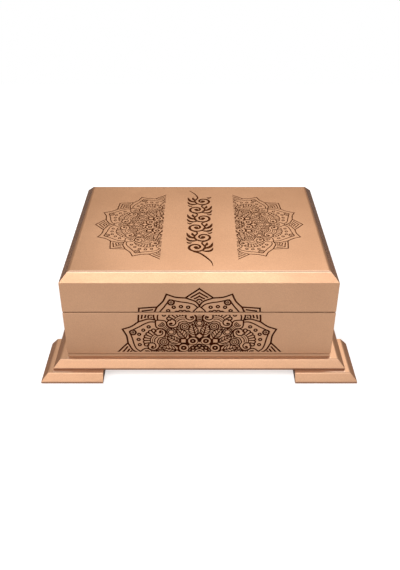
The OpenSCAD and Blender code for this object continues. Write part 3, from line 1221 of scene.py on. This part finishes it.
# %% [markdown]
# ## How a line is burnt
# The laser burns the paint and a little of the wood away, and what stays in the groove is brown fibre. A
# sheet of lines is extruded into a closed cutter, set against the face, and taken away from the board.
# Then the same cutter, kept only where it lies a little below the painted face, is left in the groove as
# the burnt fibre, so the paint ends in a crisp edge and the brown lies deeper.

# %% Helpers that carve and burn
BURN_DEPTH = 0.6 * MM
BURN_SINK = 0.2 * MM
TRIM_NEAR = 1e-7


def thicken(sheet, depth):
    """Extrudes a flat sheet upwards into a closed body"""
    edit_all(sheet, "FACE")
    bpy.ops.mesh.extrude_region_move(TRANSFORM_OT_translate={"value": (0, 0, depth)})
    bpy.ops.mesh.select_all(action="SELECT")
    bpy.ops.mesh.normals_make_consistent(inside=False)
    bpy.ops.object.mode_set(mode="OBJECT")


def trim(sheet, height, keep_side):
    """Cuts a flat sheet across at a height and keeps the part that a direction points to"""
    edit_all(sheet)
    bpy.ops.mesh.bisect(plane_co=(0, height, 0), plane_no=(0, keep_side, 0), clear_inner=True,
                        threshold=TRIM_NEAR)
    bpy.ops.object.mode_set(mode="OBJECT")


def set_cutter(sheet, turn, on_face, inward):
    """Makes a cutter of a sheet and sets it against a face, as deep as the laser burns"""
    thicken(sheet, BURN_DEPTH + OVERCUT)
    below_face = [at + way * BURN_DEPTH for at, way in zip(on_face, inward)]
    place_piece(sheet, turn=turn, place=below_face)


def burn(board, cutter, inward, name, body, finish):
    """Cuts a groove into a board and lays the burnt fibre in it, a little below the face"""
    sunk = copy_of(board, "sunk_board")
    place_piece(sunk, place=Vector(inward) * BURN_SINK)
    fibre = copy_of(cutter, name)
    cut_with(fibre, sunk, "INTERSECT")
    cut_with(board, cutter)
    bpy.data.objects.remove(sunk)
    bpy.data.objects.remove(cutter)
    hand_over(fibre, body, finish)


# %% [markdown]
# ## The mandala on the front
# The front carries one half mandala that spreads over the wall and up onto the lid. Its lines run on over
# the seam, so it was probably burnt in one go with the lid closed. Here the sheet is made twice and
# trimmed at the seam, once for each board, because the lid has to lift away with its own part of it.

# %% Carve the front wall and the front rail
FRONT_CENTRE = (0.3 * MM, 25.5 * MM)
FRONT_SIZE = (92.4 * MM, 86.2 * MM)
FRONT_CUT_LOW = 26.6 * MM
FRONT_CUT_HIGH = 78.4 * MM
FRONT_WEIGHT = 1.2
UPRIGHT = (math.radians(90), 0, 0)
TO_BACK = (0, 1, 0)

face_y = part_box("box_front_wall")[0].y
for board, low, high, name, body in (
    (front_wall, FRONT_CUT_LOW, FRONT_CUT_HIGH, "box_front_burn", "box"),
    (front_rail, FRONT_CUT_HIGH, 2 * FRONT_CUT_HIGH, "lid_front_burn", "lid"),
):
    cutter = half_mandala("front_cutter", FRONT_WEIGHT)
    place_piece(cutter, (*FRONT_SIZE, 1))
    trim(cutter, low - FRONT_CENTRE[1], 1)
    trim(cutter, high - FRONT_CENTRE[1], -1)
    set_cutter(cutter, UPRIGHT, (FRONT_CENTRE[0], face_y, FRONT_CENTRE[1]), TO_BACK)
    burn(board, cutter, TO_BACK, name, body, charred)
# the rims of the front boards get painted shade, which darkens the seam line
paint_shade_on_rim(front_wall, WALL_RIM)
paint_shade_on_rim(front_rail, RAIL_RIM)
hand_over(front_wall, "box", gold, "box_front_wall")
hand_over(front_rail, "lid", gold, "lid_front_rail")

# %% [markdown]
# ## Two half mandalas on the lid
# The top carries the same half mandala twice, with the straight sides facing each other. The sheet is a
# little smaller here, and turned a quarter to the left or to the right.

# %% Carve the half mandalas of the top
TOP_SIZE = 80.6 * MM
TOP_PLACE = (43 * MM, -0.9 * MM)
TOP_WEIGHT = 0.92
DOWN = (0, 0, -1)

for name, side in (("lid_top_burn_left", -1), ("lid_top_burn_right", 1)):
    cutter = half_mandala("top_cutter", TOP_WEIGHT)
    place_piece(cutter, (TOP_SIZE, TOP_SIZE, 1))
    quarter_turn = (0, 0, math.radians(-90 * side))
    set_cutter(cutter, quarter_turn, (side * TOP_PLACE[0], TOP_PLACE[1], top_face), DOWN)
    # the lid's lines take the lighter copy with painted sheen
    burn(top_board, cutter, DOWN, name, "lid", burnt_with_painted_sheen)

# %% [markdown]
# ## A scrolling vine between them
# A tall band of ornament fills the middle of the lid. Here it is a vine of six scrolls: each unrolls from
# a bud, swings over to the other side and runs into the next one, and pointed leaves fill what is left of
# the band. A long tail tapers off at both ends. A circle with a growing radius is the natural line for a
# scroll, and one scroll with its leaves is drawn once and flipped from side to side on the way up.
# Lengths are in millimetres.

# %% Draw the vine
VINE_LOW = -68.0
SCROLL_HEIGHT = 23.6
SCROLLS = 6
SCROLL_STEPS = 44
SCROLL_START = -110
SCROLL_TURN = 480
SCROLL_GROWTH = 0.85
SCROLL_RADII = (2.4, 10.6)
STEM_WIDTHS = (2.0, 1.0, 1.5)
BUD = (-4.2, 12.0)
BUD_RADIUS = 2.7
BUD_STEPS = 20
NEXT_SCROLL = [(2.6, 22.5), (9.0, 27.5), (12.0, 33.0)]
TOP_TAIL = [(2.6, 22.5), (6.6, 34.0), (13.5, 43.5)]
FOOT_TAIL = [(-7.0, 3.0), (1.0, -2.0), (8.4, -12.0), (12.8, -20.0), (14.6, -29.0)]
FOOT_WIDTHS = (3.0, 0.6, 0.5)
VINE_LEAVES = [
    ([(3.5, 10.0), (8.5, 10.5), (13.0, 15.0), (15.2, 23.0)], 3.6),
    ([(2.0, 4.5), (8.0, 3.0), (12.8, 4.8), (15.4, 11.0)], 3.2),
    ([(5.0, 14.5), (8.0, 18.0), (8.6, 23.0)], 2.8),
    ([(-9.0, 23.0), (-12.0, 21.5), (-15.0, 24.5)], 2.4),
]
VINE_LEAF_ENDS = (0.9, 0.6)


def scroll(tail):
    """One scroll with its bud and leaves, seen from its own foot"""
    turns = []
    for step in range(SCROLL_STEPS):
        share = step / SCROLL_STEPS
        radius = SCROLL_RADII[0] + (SCROLL_RADII[1] - SCROLL_RADII[0]) * share ** SCROLL_GROWTH
        turns.append(polar(radius, SCROLL_START + SCROLL_TURN * share, BUD))
    way_out = polar(SCROLL_RADII[1], SCROLL_START + SCROLL_TURN, BUD)
    strokes = ribbon(turns + curve([way_out, *tail]), *STEM_WIDTHS)
    strokes += dot(BUD, BUD_RADIUS, BUD_STEPS)
    for leaf, swell in VINE_LEAVES:
        strokes += ribbon(curve(leaf), *VINE_LEAF_ENDS, swell)
    return strokes


def lift(strokes, side, height):
    """Flips strokes to one side and lifts them"""
    return [([(x * side, y + height) for x, y in stroke[0]], *stroke[1:]) for stroke in strokes]


vine = lift(ribbon(curve(FOOT_TAIL), *FOOT_WIDTHS), 1, VINE_LOW)
for number in range(SCROLLS):
    tail = TOP_TAIL if number == SCROLLS - 1 else NEXT_SCROLL
    vine += lift(scroll(tail), 1 if number % 2 == 0 else -1, VINE_LOW + SCROLL_HEIGHT * number)
print("strokes in the vine:", len(vine))

# %% [markdown]
# ### Carving the vine and painting a highlight on the edge
# The vine is fused and burnt in like the mandalas. Every cut changes the list of faces, so the rounding
# along the front of the lid, which gets a painted highlight, is marked only after the last cut.

# %% Carve the vine
VINE_UNIT = 100
VINE_ACROSS = 0.5 * MM
FRONT_LEAN = -0.1

cutter = fuse("vine_cutter", vine, unit=VINE_UNIT)
place_piece(cutter, (VINE_UNIT * MM, VINE_UNIT * MM, 1))
set_cutter(cutter, (0, 0, 0), (VINE_ACROSS, 0, top_face), DOWN)
# the vine takes the lighter copy with painted sheen
burn(top_board, cutter, DOWN, "lid_top_burn_vine", "lid", burnt_with_painted_sheen)


def front_arris(face):
    """True for the rounding between the front bevel and the top"""
    return face.normal.y < FRONT_LEAN and ROUNDED_LEAN < face.normal.z < FLAT_LEAN


# painted highlight on the rounding along the front of the lid
print("rubbed faces:", mark_faces(top_board, "rubbed", front_arris))
hand_over(top_board, "lid", gold, "lid_top_panel")

# %% [markdown]
# ## The floor
# The box stands on a plain white floor under soft studio light. A floor that is white by light alone
# would need so much of it that the box would bleach, so the floor shines a little by itself, but only for
# the camera and for reflections. It keeps the soft shadow of the box.

# %% Lay the floor
FLOOR_SIZE = 2.0
FLOOR_GLOW = 0.60
FLOOR_TONES = ((0.79, 0.79, 0.79, 1), (0.81, 0.81, 0.81, 1))
FLOOR_ROUGHNESS = 0.9
FLOOR_SHINE = 0.1
DUST_SCALE = 40.0
WHITE = (1, 1, 1, 1)


def seen_directly(add, join):
    """1 for a ray of the camera, of a reflection or of a transmission, and 0 for the rest"""
    path = add("ShaderNodeLightPath")
    either = add("ShaderNodeMath")
    either.operation = "MAXIMUM"
    join(path.outputs["Is Camera Ray"], either.inputs[0])
    join(path.outputs["Is Glossy Ray"], either.inputs[1])
    any_of = add("ShaderNodeMath")
    any_of.operation = "MAXIMUM"
    join(either.outputs[0], any_of.inputs[0])
    join(path.outputs["Is Transmission Ray"], any_of.inputs[1])
    return any_of.outputs[0]


start_fresh()
bpy.ops.mesh.primitive_plane_add(size=FLOOR_SIZE, location=(0, 0, 0))
floor = bpy.context.object
floor.name = "floor"
white, shader, add, join = new_finish("white_floor")
place = add("ShaderNodeTexCoord").outputs["Object"]
dust = add("ShaderNodeTexNoise", Vector=place, Scale=DUST_SCALE, Detail=3.0)
pale = set_ramp(add("ShaderNodeValToRGB", Fac=dust.outputs["Fac"]), *FLOOR_TONES)
join(pale.outputs["Color"], shader.inputs["Base Color"])
shader.inputs["Roughness"].default_value = FLOOR_ROUGHNESS
shader.inputs["Specular IOR Level"].default_value = FLOOR_SHINE
shader.inputs["Emission Color"].default_value = WHITE
glow = set_range(add("ShaderNodeMapRange", Value=seen_directly(add, join)), 0, FLOOR_GLOW)
join(glow.outputs["Result"], shader.inputs["Emission Strength"])
floor.data.materials.append(white)
print("floor:", FLOOR_SIZE, "m square")

# %% [markdown]
# ## Surroundings and lamps
# A studio lights such a box with large soft lamps: from the front and above for the face and the lid,
# from behind for the far edge, and from the left for the side bevels. One strong sun would be simpler,
# but its shadows are hard, and the photo shows soft ones. The surroundings look white but give little
# light, by the same trick as the floor.

# %% Light the scene
SKY_LIGHT = 0.30
LAMP_TARGET = (0, 0, 0.07)
LAMPS = [
    ("front_softbox", (-0.05, -0.90, 1.46), 1.2, 0.25, 6.8),
    ("upper_softbox", (-0.05, -0.55, 1.72), 1.2, 0.2, 2.3),
    ("back_softbox", (0.25, 1.12, 1.20), 1.3, 0.7, 7.2),
    ("left_softbox", (-1.00, -0.95, 0.75), 0.7, 0.5, 4.0),
    ("left_upper_softbox", (-0.72, -1.10, 1.08), 0.5, 0.4, 1.0),
]

world = bpy.data.worlds.new("studio")
bpy.context.scene.world = world
world.use_nodes = True
tree = world.node_tree


def add_sky(kind):
    """Adds a node to the surroundings"""
    return tree.nodes.new(kind)


background = tree.nodes["Background"]
background.inputs["Color"].default_value = WHITE
level = set_range(add_sky("ShaderNodeMapRange"), SKY_LIGHT, 1.0)
tree.links.new(seen_directly(add_sky, tree.links.new), level.inputs["Value"])
tree.links.new(level.outputs["Result"], background.inputs["Strength"])


def softbox(name, location, width, height, power):
    """Adds a rectangular soft lamp and aims it at the box"""
    start_fresh()
    bpy.ops.object.light_add(type="AREA", location=location)
    lamp = bpy.context.object
    lamp.name = name
    lamp.data.shape = "RECTANGLE"
    lamp.data.size = width
    lamp.data.size_y = height
    lamp.data.energy = power
    lamp.rotation_mode = "QUATERNION"
    lamp.rotation_quaternion = (Vector(LAMP_TARGET) - Vector(location)).to_track_quat("-Z", "Y")


for lamp in LAMPS:
    softbox(*lamp)

# %% [markdown]
# ## Last settings
# The standard view transform shows a colour as it was written.

# %% Finish
bpy.context.scene.view_settings.view_transform = "Standard"
start_fresh()
